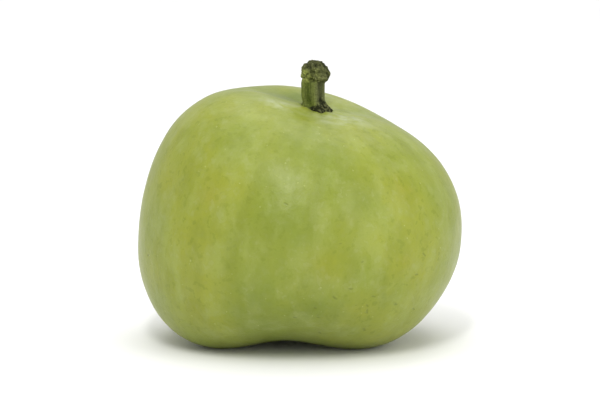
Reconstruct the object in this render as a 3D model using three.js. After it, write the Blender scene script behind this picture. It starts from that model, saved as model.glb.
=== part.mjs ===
// An apple gourd, whole and just picked, standing on its base with a stub of its stem left on.
//
// The fruit is a squat, three-lobed globe. Its top half leans over, so the stem stands off centre
// and the shoulder away from it is the higher one. The three lobes reach lowest a little way out
// from the blossom end, and the gourd stands on them. The stem is five-ridged, spreads at its foot
// and ends in the knob where it parted from the vine.
//
// Millimetres, +Z up. The origin is under the middle of the fruit, on the surface it stands on.

import * as THREE from 'three';

// Fruit: the half-section of the upright globe, before it is lobed and leans
const HALF_WIDTH = 41.2;
const HALF_HEIGHT = 32.5;
const BELLY_DROP = 1.35; // how far the widest ring shifts towards the base
const SQUARENESS = 1.2; // fills out the shoulder and the lower bulge
const END_FLATNESS = 1.3; // flattens the top and the base
const STEM_BASIN = { depth: 2.6, width: 12.5 };
const BLOSSOM_DIMPLE = { depth: 5.6, width: 11.2 };
const FRONT_TO_BACK = 0.97; // depth of the fruit against its width

// Fruit: lobes
const LOBES = 3;
const FIRST_LOBE = THREE.MathUtils.degToRad(-30);
const LOBE_SWELL = 0.003; // share of the radius
const LOBE_RISE_AT_TOP = 0.6;
const LOBE_DROP_AT_BASE = 2.65;

// Fruit: lean
const LEAN = THREE.MathUtils.degToRad(14);
const LEAN_DIRECTION = THREE.MathUtils.degToRad(-19);
const STEM_OFFSET = 7.8; // how far the stem stands from the middle of the base
const CONTACT_FLAT = 0.35; // height pressed flat where each lobe carries the weight

// Stem: radius at each height above its foot
const STEM_SECTION = [
  [3.7, 0],
  [3.2, 0.8],
  [2.9, 2.2],
  [2.8, 4.5],
  [2.85, 6.3],
  [3.35, 7.4],
  [3.55, 9],
  [3.15, 10.7],
  [2, 11.5],
  [0, 11.8],
];
const STEM_HEIGHT = STEM_SECTION.at(-1)[1];
const STEM_RIDGES = 5;
const STEM_RIDGE_DEPTH = 0.06; // share of the radius
const STEM_SWAY = -1; // sideways travel of the stem above its spreading foot
const STEM_SEAT_GAP = 0.3; // between the stem's foot and the basin

// Fineness of the meshes
const FRUIT_RINGS = 44;
const FRUIT_SEGMENTS = 72;
const STEM_RINGS = 22;
const STEM_SEGMENTS = 40;

const { smoothstep } = THREE.MathUtils;
const leanHeading = new THREE.Vector3(Math.cos(LEAN_DIRECTION), Math.sin(LEAN_DIRECTION), 0);

// Point of the half-section at an angle from the stem (0) to the blossom end (PI)
function fruitSection(angle) {
  const belly = HALF_WIDTH * Math.sin(angle);
  const radius = belly - BELLY_DROP * Math.sin(2 * angle) + SQUARENESS * Math.sin(3 * angle);
  const hollow = ({ depth, width }) => depth * Math.exp(-((radius / width) ** 2));
  const dent = angle < Math.PI / 2 ? -hollow(STEM_BASIN) : hollow(BLOSSOM_DIMPLE);
  const height = HALF_HEIGHT * Math.cos(angle) - END_FLATNESS * Math.cos(3 * angle) + dent;
  return new THREE.Vector2(Math.max(radius, 0), height);
}

// Swells the globe into lobes, which rise round the basin and reach down round the dimple
function lobeOut(point, angle) {
  const sin = Math.sin(angle);
  const cos = Math.cos(angle);
  const lobe = Math.cos(LOBES * (Math.atan2(point.y, point.x) - FIRST_LOBE));
  const swell = 1 + LOBE_SWELL * lobe * sin ** 2;
  const reach = cos > 0 ? LOBE_RISE_AT_TOP : -LOBE_DROP_AT_BASE;
  const peak = 0.186; // largest value of sin^2 * cos^3
  point.x *= swell;
  point.y *= swell * FRONT_TO_BACK;
  point.z += (reach * lobe * sin ** 2 * Math.abs(cos) ** 3) / peak;
}

// Leans the upper half over, more and more towards the stem
function leanOver(point, angle) {
  const share = smoothstep((1 + Math.cos(angle)) / 2, 0, 1);
  point.z -= point.dot(leanHeading) * Math.tan(LEAN) * share;
  point.addScaledVector(leanHeading, STEM_OFFSET * share);
}

// Applies change(point, row) to every vertex of a lathe that has been turned to stand along Z
function reshape(lathe, rows, change) {
  const position = lathe.getAttribute('position');
  const point = new THREE.Vector3();
  for (let i = 0; i < position.count; i++) {
    point.fromBufferAttribute(position, i);
    change(point, i % rows);
    position.setXYZ(i, point.x, point.y, point.z);
  }
}

function fruitGeometry() {
  const angles = Array.from({ length: FRUIT_RINGS + 1 }, (_, ring) => Math.PI * (1 - ring / FRUIT_RINGS));
  const lathe = new THREE.LatheGeometry(angles.map(fruitSection), FRUIT_SEGMENTS).rotateX(Math.PI / 2);
  reshape(lathe, angles.length, (point, ring) => {
    lobeOut(point, angles[ring]);
    leanOver(point, angles[ring]);
  });

  // Stand it on the surface, with its lobes pressed flat and its middle over the origin
  lathe.computeBoundingBox();
  const { min, max } = lathe.boundingBox;
  const floor = min.z + CONTACT_FLAT;
  const middle = new THREE.Vector3((min.x + max.x) / 2, (min.y + max.y) / 2, floor);
  reshape(lathe, angles.length, (point) => {
    point.z = Math.max(point.z, floor);
    point.sub(middle);
  });
  return lathe;
}

function stemGeometry() {
  const outline = new THREE.SplineCurve(STEM_SECTION.map((pair) => new THREE.Vector2(...pair)));
  const section = [new THREE.Vector2(0, 0), ...outline.getSpacedPoints(STEM_RINGS)];
  const lathe = new THREE.LatheGeometry(section, STEM_SEGMENTS).rotateX(Math.PI / 2);
  reshape(lathe, section.length, (point) => {
    const rise = Math.max(point.z / STEM_HEIGHT, 0);
    const ridge = Math.cos(STEM_RIDGES * Math.atan2(point.y, point.x));
    const fluted = 1 + STEM_RIDGE_DEPTH * ridge * (1 - smoothstep(rise, 0.45, 0.7));
    point.x *= fluted;
    point.y *= fluted;
    // The foot lies along the sloping basin, and the slope dies out up the stem
    point.z -= point.dot(leanHeading) * Math.tan(LEAN) * (1 - rise) ** 2;
    point.x += STEM_SWAY * smoothstep(rise, 0, 0.25);
  });
  return lathe;
}

const skin = new THREE.MeshStandardMaterial({ color: 0xa3ae55, roughness: 0.45, metalness: 0 });
const stalk = new THREE.MeshStandardMaterial({ color: 0x6a7040, roughness: 0.85, metalness: 0 });

const fruit = new THREE.Mesh(fruitGeometry(), skin);
fruit.name = 'fruit';

// Each section of the fruit ends in the middle of the basin, where the stem stands
const stem = new THREE.Mesh(stemGeometry(), stalk);
stem.name = 'stem';
stem.position.fromBufferAttribute(fruit.geometry.getAttribute('position'), FRUIT_RINGS);
stem.position.z += STEM_SEAT_GAP;

const gourd = new THREE.Group();
gourd.add(fruit, stem);

export default gourd;
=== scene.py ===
# An apple gourd on a pale surface: the grown shapes of its fruit and stem, their finishes,
# the light and the camera. Growth sizes are in millimetres; everything Blender holds is in metres.

import math

import bpy
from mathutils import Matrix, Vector


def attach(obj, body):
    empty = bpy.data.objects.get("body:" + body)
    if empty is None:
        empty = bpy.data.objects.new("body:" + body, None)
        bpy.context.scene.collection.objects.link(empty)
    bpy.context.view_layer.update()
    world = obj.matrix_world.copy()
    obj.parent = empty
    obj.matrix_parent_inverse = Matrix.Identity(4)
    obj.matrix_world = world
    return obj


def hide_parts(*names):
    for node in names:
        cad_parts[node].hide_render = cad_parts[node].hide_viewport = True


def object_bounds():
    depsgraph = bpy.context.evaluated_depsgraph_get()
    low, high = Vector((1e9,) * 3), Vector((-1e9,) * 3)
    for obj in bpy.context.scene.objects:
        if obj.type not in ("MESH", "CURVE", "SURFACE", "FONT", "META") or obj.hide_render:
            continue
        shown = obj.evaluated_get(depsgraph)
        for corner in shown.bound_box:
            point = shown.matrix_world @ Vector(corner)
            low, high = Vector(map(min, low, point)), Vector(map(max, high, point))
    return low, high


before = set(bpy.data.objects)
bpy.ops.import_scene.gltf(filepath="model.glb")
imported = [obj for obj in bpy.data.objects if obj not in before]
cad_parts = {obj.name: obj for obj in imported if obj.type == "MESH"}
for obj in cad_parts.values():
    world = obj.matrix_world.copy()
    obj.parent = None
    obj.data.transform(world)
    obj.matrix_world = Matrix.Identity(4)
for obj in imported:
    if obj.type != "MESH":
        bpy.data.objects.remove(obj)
cad_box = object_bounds()

MM = 0.001

# The fruit: half-section of the upright globe, then its lobes, its lean and its small detail
FRUIT_SIZES = {
    "Half Width": 41.2,
    "Half Height": 32.5,
    "Belly Drop": 1.35,
    "Squareness": 1.2,
    "End Flatness": 1.3,
    "Basin Depth": 2.6,
    "Basin Width": 12.5,
    "Dimple Depth": 5.6,
    "Dimple Width": 11.2,
    "Front to Back": 0.97,
    "Lobes": 3.0,
    "First Lobe": math.radians(-30),
    "Lobe Swell": 0.003,
    "Lobe Rise": 0.6,
    "Lobe Drop": 2.65,
    "Lean": math.radians(14),
    "Lean Direction": math.radians(-19),
    "Stem Offset": 7.8,
    "Contact Flat": 0.35,
    "Unevenness": 0.22,
    "Furrow Depth": 0.55,
    "Pucker Depth": 0.14,
    "Scar Width": 3.1,
    "Scar Height": 0.45,
}

# The stem: radius at each height above its foot, which is sunk into the skin of the basin
STEM_SECTION = (
    (3.7, -0.9),
    (3.8, -0.3),
    (3.4, 0.5),
    (2.95, 1.4),
    (2.8, 2.6),
    (2.8, 4.6),
    (2.85, 6.6),
    (3.05, 7.4),
    (3.3, 8.4),
    (3.15, 9.6),
    (2.5, 10.8),
    (1.4, 11.6),
    (0, 11.9),
)
STEM_SIZES = {
    "Ridges": 5.0,
    "Ridge Depth": 0.09,
    "Sway": -1.0,
    "Knob Base": 6.9,
    "Knob Overhang": 0.75,
    "Wart Height": 0.8,
    "Crust Height": 1.5,
    "Foot Slope": math.tan(FRUIT_SIZES["Lean"]),
    "Slope Direction": FRUIT_SIZES["Lean Direction"],
}


# Where the fruit and the stem are coloured: headings from +X and angles from the stem, in radians,
# with the spread of each patch
# The stem's side towards the light: fresher and greener, and painted lighter as if lit
FRESH_AND_LIT_SIDE = math.radians(215)
RIPE_PATCHES = (
    (math.radians(-49), math.radians(58), 0.12),
    (math.radians(-79), math.radians(94), 0.1),
    (math.radians(-52), math.radians(92), 0.09),
    (math.radians(-128), math.radians(74), 0.1),
    (math.radians(95), math.radians(75), 0.2),
)
GREEN_PATCHES = (
    (math.radians(-68), math.radians(63), 0.12),
    (math.radians(-92), math.radians(80), 0.13),
    (math.radians(-104), math.radians(112), 0.2),
    (math.radians(30), math.radians(85), 0.2),
    (math.radians(-80), math.radians(118), 0.22),
    (math.radians(-96), math.radians(37), 0.2),
)
# Painted shade: darker green in the hollows beside the stem
PAINTED_SHADE_PATCHES = (
    (math.radians(172), math.radians(12), 0.12),
    (math.radians(120), math.radians(11), 0.1),
)
# Pale smears round the stem: partly wax, partly painted reflection
WAX_AND_SHEEN_PATCHES = (
    (math.radians(-134), math.radians(19), 0.09),
    (math.radians(-55), math.radians(15), 0.14),
    (math.radians(70), math.radians(30), 0.2),
)
RUBBED_PATCHES = (
    (math.radians(-66), math.radians(118), 0.3),
    (math.radians(160), math.radians(100), 0.3),
)
# More and larger pale pores: high on the front, and lower on the front as painted glints in the highlight
SPECKLED_AND_GLINT_PATCHES = (
    (math.radians(-82), math.radians(27), 0.16),
    (math.radians(-100), math.radians(63), 0.12),
)


# ---------------------------------------------------------------------------- node writing


class Field:
    """A number that varies over a node tree, so that formulas can be written as arithmetic."""

    def __init__(self, tree, socket):
        self.tree = tree
        self.socket = socket

    def math(self, operation, *others):
        node = self.tree.nodes.new("ShaderNodeMath")
        node.operation = operation
        for slot, value in zip(node.inputs, (self, *others)):
            connect(value, slot)
        return Field(self.tree, node.outputs[0])

    def __add__(self, other):
        return self.math("ADD", other)

    def __sub__(self, other):
        return self.math("SUBTRACT", other)

    def __mul__(self, other):
        return self.math("MULTIPLY", other)

    def __truediv__(self, other):
        return self.math("DIVIDE", other)

    def __neg__(self):
        return self * -1.0

    def __rsub__(self, other):
        return -self + other

    __radd__ = __add__
    __rmul__ = __mul__

    def ramp(self, low, high, start=0.0, end=1.0):
        """Goes smoothly from start to end as the field goes from low to high."""
        node = self.tree.nodes.new("ShaderNodeMapRange")
        node.interpolation_type = "SMOOTHSTEP"
        for slot, value in zip(node.inputs, (self, low, high, start, end)):
            connect(value, slot)
        return Field(self.tree, node.outputs[0])


def connect(value, slot):
    """Feeds an input from a field, an output socket or a plain value."""
    source = getattr(value, "socket", value)
    if isinstance(source, bpy.types.NodeSocket):
        slot.id_data.links.new(source, slot)
    else:
        slot.default_value = source


def make(tree, kind, inputs=None, **settings):
    """Adds a node with its settings and inputs."""
    node = tree.nodes.new(kind)
    for name, value in settings.items():
        setattr(node, name, value)
    for name, value in (inputs or {}).items():
        connect(value, node.inputs[name])
    return node


def vector(tree, x, y, z):
    return make(tree, "ShaderNodeCombineXYZ", {"X": x, "Y": y, "Z": z}).outputs[0]


def components(tree, source):
    node = make(tree, "ShaderNodeSeparateXYZ", {0: source})
    return [Field(tree, socket) for socket in node.outputs]


def scaled(tree, source, factor):
    node = make(tree, "ShaderNodeVectorMath", {0: source, "Scale": factor}, operation="SCALE")
    return node.outputs[0]


def dot(tree, first, second):
    node = make(tree, "ShaderNodeVectorMath", {0: first, 1: second}, operation="DOT_PRODUCT")
    return Field(tree, node.outputs["Value"])


def subtract(tree, first, second):
    return make(tree, "ShaderNodeVectorMath", {0: first, 1: second}, operation="SUBTRACT").outputs[0]


def noise(tree, place, size, detail=2.0, roughness=0.5, distortion=0.0):
    """Soft random variation, 0 to 1 round 0.5, whose lumps are about size across."""
    inputs = {
        "Vector": place,
        "Scale": 1.0 / size,
        "Detail": detail,
        "Roughness": roughness,
        "Distortion": distortion,
    }
    return Field(tree, make(tree, "ShaderNodeTexNoise", inputs).outputs[0])


def bell(field, width):
    """1 where the field is 0, falling away on both sides over about width."""
    share = field / width
    return (-(share * share)).math("EXPONENT")


# ---------------------------------------------------------------------------- growth


def growth_tree(name, sizes):
    """A geometry tree with one named input for each size; returns it, its inputs and its output."""
    tree = bpy.data.node_groups.new(name, "GeometryNodeTree")
    for size in sizes:
        tree.interface.new_socket(size, in_out="INPUT", socket_type="NodeSocketFloat")
    tree.interface.new_socket("Geometry", in_out="OUTPUT", socket_type="NodeSocketGeometry")
    entry = tree.nodes.new("NodeGroupInput")
    size_of = {size: Field(tree, entry.outputs[size]) for size in sizes}
    return tree, size_of, tree.nodes.new("NodeGroupOutput").inputs[0]


def globe(tree, segments, rings):
    """A unit globe, with the angle from its top pole and the heading of each point."""
    sphere = make(tree, "GeometryNodeMeshUVSphere", {"Segments": segments, "Rings": rings})
    place = tree.nodes.new("GeometryNodeInputPosition").outputs[0]
    x, y, z = components(tree, place)
    return sphere.outputs["Mesh"], z.math("ARCCOSINE"), y.math("ARCTAN2", x), place


def keep(tree, geometry, name, value, data_type="FLOAT"):
    """Stores a value on every point for the finish to read."""
    inputs = {"Geometry": geometry, "Name": name, "Value": value}
    return make(tree, "GeometryNodeStoreNamedAttribute", inputs, data_type=data_type).outputs[0]


def kept(tree, name, data_type="FLOAT"):
    node = make(tree, "GeometryNodeInputNamedAttribute", {"Name": name}, data_type=data_type)
    return Field(tree, node.outputs["Attribute"])


def move_to(tree, geometry, place):
    inputs = {"Geometry": geometry, "Position": place}
    return make(tree, "GeometryNodeSetPosition", inputs).outputs[0]


def push_out(tree, geometry, height):
    """Moves every point along its normal."""
    normal = tree.nodes.new("GeometryNodeInputNormal").outputs[0]
    inputs = {"Geometry": geometry, "Offset": scaled(tree, normal, height)}
    return make(tree, "GeometryNodeSetPosition", inputs).outputs[0]


def finish_growth(tree, geometry, material, output):
    """Realizes the grown shape in metres, smooth, with its material."""
    sized = make(tree, "GeometryNodeTransform", {"Geometry": geometry, "Scale": (MM, MM, MM)})
    smooth = make(tree, "GeometryNodeSetShadeSmooth", {"Geometry": sized.outputs[0]})
    real = make(tree, "GeometryNodeRealizeInstances", {"Geometry": smooth.outputs[0]})
    inputs = {"Geometry": real.outputs[0], "Material": material}
    tree.links.new(make(tree, "GeometryNodeSetMaterial", inputs).outputs[0], output)


def grow(name, tree, sizes):
    """Runs a growth tree with these sizes and keeps what it makes as a plain mesh."""
    piece = bpy.data.objects.new(name, bpy.data.meshes.new(name + "_seed"))
    bpy.context.scene.collection.objects.link(piece)
    modifier = piece.modifiers.new("growth", "NODES")
    modifier.node_group = tree
    for item in tree.interface.items_tree:
        if item.in_out == "INPUT":
            modifier[item.identifier] = sizes[item.name]
    evaluated = piece.evaluated_get(bpy.context.evaluated_depsgraph_get())
    grown = bpy.data.meshes.new_from_object(evaluated)
    piece.modifiers.clear()
    piece.data = grown
    grown.name = name
    return piece


def fruit_growth(material):
    """The lobed, leaning globe, with its puckered basin, uneven skin and blossom scar."""
    tree, size, output = growth_tree("fruit_growth", FRUIT_SIZES)
    mesh, angle, heading, unit = globe(tree, segments=320, rings=240)
    sin = angle.math("SINE")
    cos = angle.math("COSINE")
    upper = cos.math("GREATER_THAN", 0.0)
    lower = 1.0 - upper

    # Half-section
    radius = size["Half Width"] * sin
    radius -= size["Belly Drop"] * (angle * 2.0).math("SINE")
    radius += size["Squareness"] * (angle * 3.0).math("SINE")
    height = size["Half Height"] * cos
    height -= size["End Flatness"] * (angle * 3.0).math("COSINE")
    height -= size["Basin Depth"] * bell(radius, size["Basin Width"]) * upper
    height += size["Dimple Depth"] * bell(radius, size["Dimple Width"]) * lower

    # Lobes
    lobe = (size["Lobes"] * (heading - size["First Lobe"])).math("COSINE")
    swell = 1.0 + size["Lobe Swell"] * lobe * sin * sin
    x = radius * swell * heading.math("COSINE")
    y = radius * swell * heading.math("SINE") * size["Front to Back"]
    steep = cos.math("ABSOLUTE")
    band = sin * sin * steep * steep * steep / 0.186  # 0.186 is the most this product reaches
    z = height + lobe * band * (size["Lobe Rise"] * upper - size["Lobe Drop"] * lower)

    # Lean
    share = ((cos + 1.0) / 2.0).ramp(0.0, 1.0)
    lean_x = size["Lean Direction"].math("COSINE")
    lean_y = size["Lean Direction"].math("SINE")
    z -= (x * lean_x + y * lean_y) * size["Lean"].math("TANGENT") * share
    x += size["Stem Offset"] * lean_x * share
    y += size["Stem Offset"] * lean_y * share

    # What the finish needs to know, kept before the globe is reshaped
    mesh = keep(tree, mesh, "growth", unit, "FLOAT_VECTOR")
    mesh = keep(tree, mesh, "from_stem", radius + lower * 100.0)
    mesh = keep(tree, mesh, "from_blossom", radius + upper * 100.0)
    mesh = move_to(tree, mesh, vector(tree, x, y, z))

    # Middle over the origin, lobes on the surface
    corners = make(tree, "GeometryNodeBoundBox", {"Geometry": mesh})
    low = components(tree, corners.outputs["Min"])
    high = components(tree, corners.outputs["Max"])
    offset = vector(
        tree,
        (low[0] + high[0]) / -2.0,
        (low[1] + high[1]) / -2.0,
        -(low[2] + size["Contact Flat"]),
    )
    mesh = make(tree, "GeometryNodeTransform", {"Geometry": mesh, "Translation": offset}).outputs[0]

    # Unevenness over the whole skin, puckers round the stem, cork on the blossom scar
    place = tree.nodes.new("GeometryNodeInputPosition").outputs[0]
    grown = kept(tree, "growth", "FLOAT_VECTOR").socket
    gx, gy, gz = components(tree, grown)
    around = gy.math("ARCTAN2", gx)
    from_stem = kept(tree, "from_stem")
    from_blossom = kept(tree, "from_blossom")
    uneven = (noise(tree, place, 19.0, 1.0) - 0.5) * 3.0 + (noise(tree, place, 6.0, 2.0) - 0.5) * 0.5
    wobble = noise(tree, place, 5.0) * 5.0
    pucker = (around * 9.0 + wobble).math("SINE") * bell(from_stem - 6.0, 3.2)
    valley = (size["Lobes"] * (around - size["First Lobe"])).math("COSINE").ramp(0.2, -1.0)
    furrow = valley * bell(from_stem - 11.0, 8.0)
    cork = noise(tree, place, 0.9, 4.0, 0.65) + bell(from_blossom - size["Scar Width"], 0.7) - 0.75
    scar = cork * from_blossom.ramp(size["Scar Width"] + 0.9, size["Scar Width"] - 0.2)
    relief = uneven * size["Unevenness"] + pucker * size["Pucker Depth"]
    relief += scar * size["Scar Height"] - furrow * size["Furrow Depth"]
    mesh = push_out(tree, mesh, relief)

    x, y, z = components(tree, place)
    mesh = move_to(tree, mesh, vector(tree, x, y, z.math("MAXIMUM", 0.0)))
    finish_growth(tree, mesh, material, output)
    return tree


def section_curve(tree, along, values, lengths):
    """A smooth curve through one value for each length along the section; returns it as a field."""
    low, high = min(values), max(values)
    node = make(tree, "ShaderNodeFloatCurve", {"Value": along})
    curve = node.mapping.curves[0]
    while len(curve.points) < len(values):
        curve.points.new(0.5, 0.5)
    for point, length, value in zip(curve.points, lengths, values):
        point.location = (length, (value - low) / (high - low))
        point.handle_type = "AUTO_CLAMPED"
    node.mapping.update()
    return Field(tree, node.outputs[0]) * (high - low) + low


def stem_growth(material, seat):
    """The ridged stalk, spreading at its foot, with the warty knob where it left the vine."""
    tree, size, output = growth_tree("stem_growth", STEM_SIZES)
    mesh, angle, heading, unit = globe(tree, segments=200, rings=220)

    # Walk down the section from the middle of the knob to the middle of the foot
    section = [*reversed(STEM_SECTION), (0, STEM_SECTION[0][1])]
    steps = [math.dist(a, b) for a, b in zip(section, section[1:])]
    lengths = [sum(steps[:count]) / sum(steps) for count in range(len(section))]
    along = angle / math.pi
    radius = section_curve(tree, along, [point[0] for point in section], lengths)
    height = section_curve(tree, along, [point[1] for point in section], lengths)

    top = STEM_SECTION[-1][1]
    rise = (height / top).math("MAXIMUM", 0.0)
    in_knob = height.ramp(size["Knob Base"] - 0.6, size["Knob Base"] + 0.9)
    across = noise(tree, unit, 1.1) * 1.4
    ridge = (size["Ridges"] * heading + across).math("COSINE")
    fluted = 1.0 + size["Ridge Depth"] * ridge * (1.0 - in_knob * 0.75)
    x = radius * fluted * heading.math("COSINE")
    y = radius * fluted * heading.math("SINE")
    slope_x = size["Slope Direction"].math("COSINE")
    slope_y = size["Slope Direction"].math("SINE")
    level = 1.0 - rise
    z = height - (x * slope_x + y * slope_y) * size["Foot Slope"] * level * level
    x += size["Sway"] * rise.ramp(0.0, 0.25) + size["Knob Overhang"] * in_knob

    mesh = keep(tree, mesh, "growth", unit, "FLOAT_VECTOR")
    mesh = keep(tree, mesh, "height", height)
    mesh = keep(tree, mesh, "ridge", ridge)
    mesh = keep(tree, mesh, "heading", heading)
    mesh = move_to(tree, mesh, vector(tree, x, y, z))

    # Fine lines up the shaft, warts on the knob, crust round the foot
    place = tree.nodes.new("GeometryNodeInputPosition").outputs[0]
    px, py, pz = components(tree, place)
    height = kept(tree, "height")
    in_knob = height.ramp(size["Knob Base"] - 0.6, size["Knob Base"] + 0.9)
    in_foot = height.ramp(1.9, 0.3)
    lines = noise(tree, vector(tree, px, py, pz * 0.12), 0.55, 3.0) - 0.5
    cells = make(tree, "ShaderNodeTexVoronoi", {"Vector": place, "Scale": 0.95})
    wart = 0.45 - Field(tree, cells.outputs["Distance"]) * 0.75
    wart += (noise(tree, place, 2.4, 1.0) - 0.5) * 1.7 + (noise(tree, place, 0.55, 4.0, 0.7) - 0.5)
    crust = noise(tree, place, 0.75, 4.0, 0.7) - 0.45
    relief = lines * 0.5 * (1.0 - in_knob)
    relief += wart * in_knob * size["Wart Height"]
    relief += crust * in_foot * size["Crust Height"]
    mesh = keep(tree, mesh, "relief", relief)
    mesh = push_out(tree, mesh, relief)

    inputs = {"Geometry": mesh, "Translation": tuple(seat / MM)}
    mesh = make(tree, "GeometryNodeTransform", inputs).outputs[0]
    finish_growth(tree, mesh, material, output)
    return tree


# ---------------------------------------------------------------------------- finishes


def new_material(name, roughness):
    """A material with its shader and the place of each point in millimetres."""
    material = bpy.data.materials.new(name)
    material.use_nodes = True
    tree = material.node_tree
    shader = tree.nodes["Principled BSDF"]
    shader.inputs["Roughness"].default_value = roughness
    coordinates = tree.nodes.new("ShaderNodeTexCoord").outputs["Object"]
    return material, tree, shader, scaled(tree, coordinates, 1.0 / MM)


def attribute(tree, name):
    """A number stored on the points when the piece was grown."""
    return Field(tree, make(tree, "ShaderNodeAttribute", attribute_name=name).outputs["Fac"])


def mix(tree, share, first, second, blend="MIX"):
    """A colour part of the way from the first to the second."""
    node = make(tree, "ShaderNodeMix", data_type="RGBA", blend_type=blend)
    for slot, value in zip((0, 6, 7), (share, first, second)):
        connect(value, node.inputs[slot])
    return node.outputs[2]


def shaded(tree, colour, factor):
    """The colour made lighter or darker by a varying factor."""
    return make(tree, "ShaderNodeVectorMath", {0: colour, "Scale": factor}, operation="SCALE").outputs[0]


def set_bump(tree, shader, height):
    """Raises the surface by a height in millimetres."""
    bump = make(tree, "ShaderNodeBump", {"Height": height, "Distance": MM, "Strength": 1.0})
    tree.links.new(bump.outputs[0], shader.inputs["Normal"])


def effect(name, inputs, outputs):
    """A shader group with named inputs and outputs; returns it, its inputs and its output node."""
    tree = bpy.data.node_groups.new(name, "ShaderNodeTree")
    for label, kind in inputs.items():
        tree.interface.new_socket(label, in_out="INPUT", socket_type="NodeSocket" + kind)
    for label in outputs:
        tree.interface.new_socket(label, in_out="OUTPUT", socket_type="NodeSocketFloat")
    entry = tree.nodes.new("NodeGroupInput")
    given = {label: Field(tree, entry.outputs[label]) for label in inputs}
    return tree, given, tree.nodes.new("NodeGroupOutput")


def use(tree, group, inputs):
    """Places an effect in a material and returns its outputs as fields."""
    node = make(tree, "ShaderNodeGroup", node_tree=group)
    for label, value in inputs.items():
        connect(value, node.inputs[label])
    return [Field(tree, socket) for socket in node.outputs]


def mottling():
    """Cloudy patches with soft edges, and the fine grain within them."""
    inputs = {"Place": "Vector", "Patch Size": "Float", "Grain Size": "Float"}
    tree, given, out = effect("mottling", inputs, ("Patches", "Grain"))
    for label, size, detail in (("Patches", "Patch Size", 3.0), ("Grain", "Grain Size", 5.0)):
        scale = given[size].math("POWER", -1.0)
        settings = {"Vector": given["Place"], "Scale": scale, "Detail": detail, "Roughness": 0.55}
        cloud = Field(tree, make(tree, "ShaderNodeTexNoise", settings).outputs[0])
        connect(cloud.ramp(0.28, 0.72), out.inputs[label])
    return tree


def spots():
    """Small ragged spots, each somewhere in its own cell, and only in a share of the cells."""
    inputs = {"Place": "Vector", "Spacing": "Float", "Spot Size": "Float", "Share": "Float"}
    tree, given, out = effect("spots", inputs, ("Spots",))
    scale = given["Spacing"].math("POWER", -1.0)
    cells = make(tree, "ShaderNodeTexVoronoi", {"Vector": given["Place"], "Scale": scale})
    distance = Field(tree, cells.outputs["Distance"]) * given["Spacing"]
    chance = components(tree, cells.outputs["Color"])
    radius = given["Spot Size"] * (0.45 + chance[1] * 0.55)
    chosen = chance[0].math("LESS_THAN", given["Share"])
    ragged = (noise(tree, given["Place"], 0.45, 3.0, 0.6) - 0.5) * given["Spot Size"] * 2.0
    connect((distance + ragged).ramp(radius, radius * 0.35) * chosen, out.inputs["Spots"])
    return tree


def dashes():
    """Short fine scratches, each its own way, one in each of a share of the cells."""
    inputs = {"Place": "Vector", "Spacing": "Float", "Length": "Float", "Width": "Float", "Share": "Float"}
    tree, given, out = effect("dashes", inputs, ("Dashes",))
    scale = given["Spacing"].math("POWER", -1.0)
    cells = make(tree, "ShaderNodeTexVoronoi", {"Vector": given["Place"], "Scale": scale})
    offset = subtract(tree, given["Place"], cells.outputs["Position"])
    chance = components(tree, cells.outputs["Color"])
    sideways = vector(tree, chance[0] - 0.2, chance[1] - 0.5, 0.8 - chance[2])
    unit = make(tree, "ShaderNodeVectorMath", {0: sideways}, operation="NORMALIZE").outputs[0]
    across = dot(tree, offset, unit).math("ABSOLUTE")
    reach = given["Length"] * (0.25 + chance[1] * 0.25)
    away = Field(tree, cells.outputs["Distance"]) * given["Spacing"]
    line = across.ramp(given["Width"], given["Width"] * 0.2) * away.ramp(reach, reach * 0.6)
    connect(line * chance[2].math("LESS_THAN", given["Share"]), out.inputs["Dashes"])
    return tree


def patches_at(tree, growth, places):
    """1 in the middle of each patch on the growing globe, fading to 0 over its spread."""
    total = 0.0
    for heading, angle, spread in places:
        ring = math.sin(angle)
        middle = (ring * math.cos(heading), ring * math.sin(heading), math.cos(angle))
        away = make(tree, "ShaderNodeVectorMath", {0: growth, 1: middle}, operation="DISTANCE")
        total = bell(Field(tree, away.outputs["Value"]), spread) + total
    return total


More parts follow.
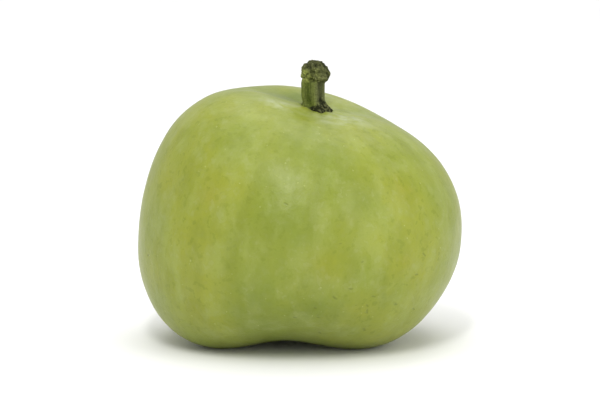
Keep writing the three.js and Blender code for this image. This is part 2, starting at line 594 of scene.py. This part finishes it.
def skin_material(mottle, spot, dash):
    """Light green skin with a thin wax: mottled, finely pored, paler round the stem with wax and painted
    sheen, darker in the furrows and hollows as painted shade.
    """
    material, tree, shader, place = new_material("waxy_green_skin", 0.35)
    from_stem = attribute(tree, "from_stem")
    from_blossom = attribute(tree, "from_blossom")
    growth = make(tree, "ShaderNodeAttribute", attribute_name="growth").outputs["Vector"]
    gx, gy, gz = components(tree, growth)

    broad, grain = use(tree, mottle, {"Place": place, "Patch Size": 17.0, "Grain Size": 1.7})
    clouds, fine = use(tree, mottle, {"Place": place, "Patch Size": 3.8, "Grain Size": 0.5})
    px, py, pz = components(tree, place)
    tall_place = vector(tree, px, py, pz * 0.6)
    milky = noise(tree, tall_place, 5.2, 4.0, 0.55, 0.2).ramp(0.44, 0.62)
    olive = noise(tree, tall_place, 7.5, 5.0, 0.6, 0.2).ramp(0.48, 0.62)
    colour = mix(tree, broad, (0.22, 0.268, 0.032, 1), (0.285, 0.31, 0.034, 1))
    colour = mix(tree, clouds * 0.4, colour, (0.262, 0.305, 0.05, 1))
    lobe = (FRUIT_SIZES["Lobes"] * (gy.math("ARCTAN2", gx) - FRUIT_SIZES["First Lobe"])).math("COSINE")
    # Painted shade: darker green along the furrows between the lobes
    colour = mix(tree, lobe.ramp(0.1, -1.0) * 0.4, colour, (0.175, 0.225, 0.032, 1))
    colour = mix(tree, milky * 0.24, colour, (0.33, 0.375, 0.12, 1))
    colour = mix(tree, olive * 0.3, colour, (0.195, 0.23, 0.02, 1))
    ripe = patches_at(tree, growth, RIPE_PATCHES) * (0.35 + clouds * 0.65)
    colour = mix(tree, ripe * 0.75, colour, (0.265, 0.285, 0.016, 1))
    colour = mix(tree, ripe * milky * 0.3, colour, (0.33, 0.3, 0.05, 1))
    unripe = patches_at(tree, growth, GREEN_PATCHES) * (0.25 + clouds * 0.75)
    colour = mix(tree, unripe * 0.45, colour, (0.16, 0.21, 0.028, 1))

    # Small ragged flecks, dark between the milky patches and pale inside them
    dark_flecks = grain.ramp(0.7, 0.9) * (1.0 - milky * 0.6)
    pale_flecks = grain.ramp(0.34, 0.12) * (0.3 + milky * 0.7)
    colour = mix(tree, dark_flecks * 0.38, colour, (0.155, 0.19, 0.016, 1))
    colour = mix(tree, pale_flecks * 0.2, colour, (0.38, 0.42, 0.15, 1))

    # Streaks that run from the stem to the blossom end
    length = (gx * gx + gy * gy + 0.002).math("SQRT")
    streak_place = vector(tree, gx / length * 7.0, gy / length * 7.0, gz * 1.3)
    streaks = noise(tree, streak_place, 1.0, 4.0, 0.6)
    colour = shaded(tree, colour, streaks.ramp(0.25, 0.75, 0.95, 1.05))

    # A pale bloom of wax, thickest round the basin and thin elsewhere, with painted sheen: a painted
    # highlight on the lobe crests near the stem and pale painted reflections round the stem; painted shade
    # in the hollows beside it
    near_stem = from_stem.ramp(19.0, 6.0)
    cloudy_wax = noise(tree, place, 7.0, 5.0, 0.62).ramp(0.45, 0.7)
    # Painted highlight along the lobe crests near the stem
    painted_crest_highlight = lobe.ramp(0.6, 1.0) * bell(from_stem - 13.0, 5.0)
    wax_and_painted_sheen = patches_at(tree, growth, WAX_AND_SHEEN_PATCHES) * 0.6 + painted_crest_highlight * 0.15 + near_stem * 0.1
    wax_and_sheen_smears = noise(tree, place, 3.2, 4.0, 0.6).ramp(0.4, 0.62) * wax_and_painted_sheen
    # Painted shade: darker green in the hollows beside the stem, with the wax kept thin there
    painted_shade = patches_at(tree, growth, PAINTED_SHADE_PATCHES)
    bloom_and_sheen = (cloudy_wax * (0.07 + near_stem * 0.14) + wax_and_sheen_smears) * (1.0 - painted_shade * 0.8)
    colour = mix(tree, bloom_and_sheen, colour, (0.43, 0.475, 0.28, 1))
    colour = mix(tree, painted_shade * 0.8, colour, (0.15, 0.2, 0.03, 1))
    colour = shaded(tree, colour, 0.895 + grain * 0.07 + fine * 0.02)

    # Pores, pale and slightly sunk, more and larger in two places, the lower of them painted glints in the
    # highlight; and short scratches
    speckled_and_glints = patches_at(tree, growth, SPECKLED_AND_GLINT_PATCHES)
    pore = {"Place": place, "Spacing": 2.1, "Spot Size": 0.3 + speckled_and_glints * 0.3, "Share": 0.5 + speckled_and_glints * 0.4}
    (pores,) = use(tree, spot, pore)
    colour = mix(tree, pores * 0.34, colour, (0.44, 0.49, 0.18, 1))
    rubbed = patches_at(tree, growth, RUBBED_PATCHES)
    scratch = {"Place": place, "Spacing": 2.4, "Length": 2.2, "Width": 0.34, "Share": 0.01 + rubbed * 0.6}
    (scratches,) = use(tree, dash, scratch)
    colour = mix(tree, scratches * 0.42, colour, (0.1, 0.118, 0.018, 1))

    # Dark skin in a ragged ring where the stem joins, and cork over the blossom scar
    ragged = noise(tree, place, 1.3, 4.0, 0.65) * 2.6
    collar = (from_stem + ragged).ramp(6.3, 4.4)
    colour = mix(tree, collar * 0.75, colour, (0.085, 0.1, 0.025, 1))
    cork = (from_blossom + ragged * 0.5).ramp(5.0, 3.6)
    cork_colour = mix(tree, fine, (0.13, 0.085, 0.035, 1), (0.42, 0.33, 0.17, 1))
    colour = mix(tree, cork, colour, cork_colour)
    tree.links.new(colour, shader.inputs["Base Color"])

    rough = 0.3 + clouds * 0.06 + fine * 0.05 + bloom_and_sheen * 0.12 + cork * 0.4 + collar * 0.3
    connect(rough, shader.inputs["Roughness"])
    relief = fine * 0.012 + grain * 0.03 - pores * 0.035 - scratches * 0.05 + cork * fine * 0.12
    set_bump(tree, shader, relief)
    shader.inputs["Subsurface Weight"].default_value = 0.12
    shader.inputs["Subsurface Radius"].default_value = (1.0, 0.9, 0.3)
    shader.inputs["Subsurface Scale"].default_value = 0.002
    shader.inputs["Specular IOR Level"].default_value = 0.21
    return material


def stem_material(mottle, spot):
    """Drying green stalk: fresher on one side and painted lighter there, near black at the foot, dark and
    warty at the knob.
    """
    material, tree, shader, place = new_material("drying_stalk", 0.8)
    height = attribute(tree, "height")
    ridge = attribute(tree, "ridge")
    relief = attribute(tree, "relief")
    fresh_and_lit = (attribute(tree, "heading") - FRESH_AND_LIT_SIDE).math("COSINE").ramp(0.1, 0.95)
    px, py, pz = components(tree, place)
    patches, grain = use(tree, mottle, {"Place": place, "Patch Size": 1.5, "Grain Size": 0.35})
    fibre_place = vector(tree, px, py, pz * 0.1)
    coarse, fibres = use(tree, mottle, {"Place": fibre_place, "Patch Size": 1.3, "Grain Size": 0.45})

    # Shaft: olive ridges, dark furrows and fibres, greener where it is fresh and painted lighter on that
    # side, towards the light
    tone = ridge.ramp(-1.0, 0.9) * 0.6 + fibres * 0.4
    dry = mix(tree, tone, (0.04, 0.046, 0.016, 1), (0.155, 0.17, 0.062, 1))
    green = mix(tree, tone, (0.075, 0.105, 0.013, 1), (0.175, 0.22, 0.03, 1))
    colour = mix(tree, fresh_and_lit * (0.5 + coarse * 0.5), dry, green)

    # Knob: dark crevices between pale warts, with a fresh patch low on one side, painted lighter as the lit
    # side
    knob = (height + patches * 0.8).ramp(7.0, 7.8)
    low_side = fresh_and_lit * patches * height.ramp(10.8, 9.0)
    wart = mix(tree, low_side, (0.135, 0.145, 0.052, 1), (0.38, 0.43, 0.1, 1))
    raised = relief.ramp(-0.22, 0.34) * 0.72 + grain * 0.28
    knob_colour = mix(tree, raised, (0.022, 0.027, 0.006, 1), wart)
    knob_colour = shaded(tree, knob_colour, height.ramp(9.6, 11.6, 1.0, 0.6))
    colour = mix(tree, knob, colour, knob_colour)
    (flecks,) = use(tree, spot, {"Place": place, "Spacing": 0.9, "Spot Size": 0.24, "Share": 0.4})
    colour = mix(tree, flecks * 0.55, colour, (0.3, 0.31, 0.15, 1))

    # Foot: dead and nearly black, less so on the fresh, painted-lit side
    foot = (height + patches * 2.6 + fresh_and_lit * 2.2).ramp(4.3, 2.8)
    crumbs = noise(tree, place, 0.9, 3.0, 0.6).ramp(0.5, 0.64)
    dead = mix(tree, crumbs * 0.75, (0.011, 0.013, 0.003, 1), (0.14, 0.145, 0.06, 1))
    colour = mix(tree, foot * 0.94, colour, dead)
    colour = shaded(tree, colour, 0.7 + grain * 0.54)
    tree.links.new(colour, shader.inputs["Base Color"])
    connect(0.7 + grain * 0.2, shader.inputs["Roughness"])
    set_bump(tree, shader, grain * 0.1 + patches * 0.06 + fibres * 0.1 + flecks * 0.05)
    shader.inputs["Specular IOR Level"].default_value = 0.12
    return material


def surface_material():
    """The pale matt surface that the gourd stands on."""
    material, tree, shader, place = new_material("pale_surface", 0.9)
    faint = noise(tree, place, 60.0, 3.0).ramp(0.3, 0.7)
    colour = mix(tree, faint, (0.86, 0.86, 0.855, 1), (0.88, 0.88, 0.875, 1))
    tree.links.new(colour, shader.inputs["Base Color"])
    return material


# ---------------------------------------------------------------------------- stage


def add_surface():
    """A flat round surface, wide enough to fill the view behind the gourd."""
    bpy.ops.mesh.primitive_circle_add(vertices=96, radius=4.0, fill_type="NGON")
    surface = bpy.context.object
    surface.name = "surface"
    surface.data.materials.append(surface_material())


def aim(thing, place, target):
    """Puts a light or a camera at a place, looking at the target."""
    thing.location = place
    thing.rotation_euler = (target - place).to_track_quat("-Z", "Y").to_euler()
    bpy.context.scene.collection.objects.link(thing)


def add_softbox(name, place, width, height, watts, target):
    light = bpy.data.lights.new(name, "AREA")
    light.shape = "RECTANGLE"
    light.size = width
    light.size_y = height
    light.energy = watts
    aim(bpy.data.objects.new(name, light), Vector(place), target)


def add_light(target):
    """Broad light from above in front and from above behind, a weaker one at the right, a narrow window in
    front, and a bright room.
    """
    add_softbox("above_front", (-0.1, -0.5, 1.2), 1.2, 1.0, 5.0, target)
    add_softbox("right", (0.95, -0.6, 0.5), 0.8, 0.8, 3.5, target)
    add_softbox("above_back", (0.05, 0.5, 1.2), 1.0, 0.8, 5.0, target)
    add_softbox("window", (-0.09, -0.76, 0.86), 0.1, 0.5, 4.6, target)
    world = bpy.data.worlds.new("bright_room")
    world.use_nodes = True
    background = world.node_tree.nodes["Background"]
    background.inputs["Color"].default_value = (1.0, 1.0, 1.0, 1.0)
    background.inputs["Strength"].default_value = 0.7
    bpy.context.scene.world = world


def add_camera(target):
    """A long lens from the front, looking slightly down."""
    distance = 1.2
    elevation = math.radians(9.5)
    seen_width = 0.15  # width of the view at the gourd
    camera = bpy.data.cameras.new("camera")
    camera.lens = camera.sensor_width * distance / seen_width
    away = Vector((0, -math.cos(elevation), math.sin(elevation)))
    holder = bpy.data.objects.new("camera", camera)
    aim(holder, target + away * distance, target)
    bpy.context.scene.camera = holder


# ---------------------------------------------------------------------------- assembly

scene = bpy.context.scene
scene.view_settings.view_transform = "Standard"

mottle = mottling()
spot = spots()

fruit = grow("grown_fruit", fruit_growth(skin_material(mottle, spot, dashes())), FRUIT_SIZES)
seat = fruit.data.vertices[0].co.copy()  # a globe's first point is its top pole
stem = grow("grown_stem", stem_growth(stem_material(mottle, spot), seat), STEM_SIZES)

for piece, node, finish in ((fruit, "fruit", "skin"), (stem, "stem", "stem")):
    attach(piece, "root")
    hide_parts(node)

middle = (cad_box[0] + cad_box[1]) / 2
add_surface()
add_light(middle)
add_camera(middle)
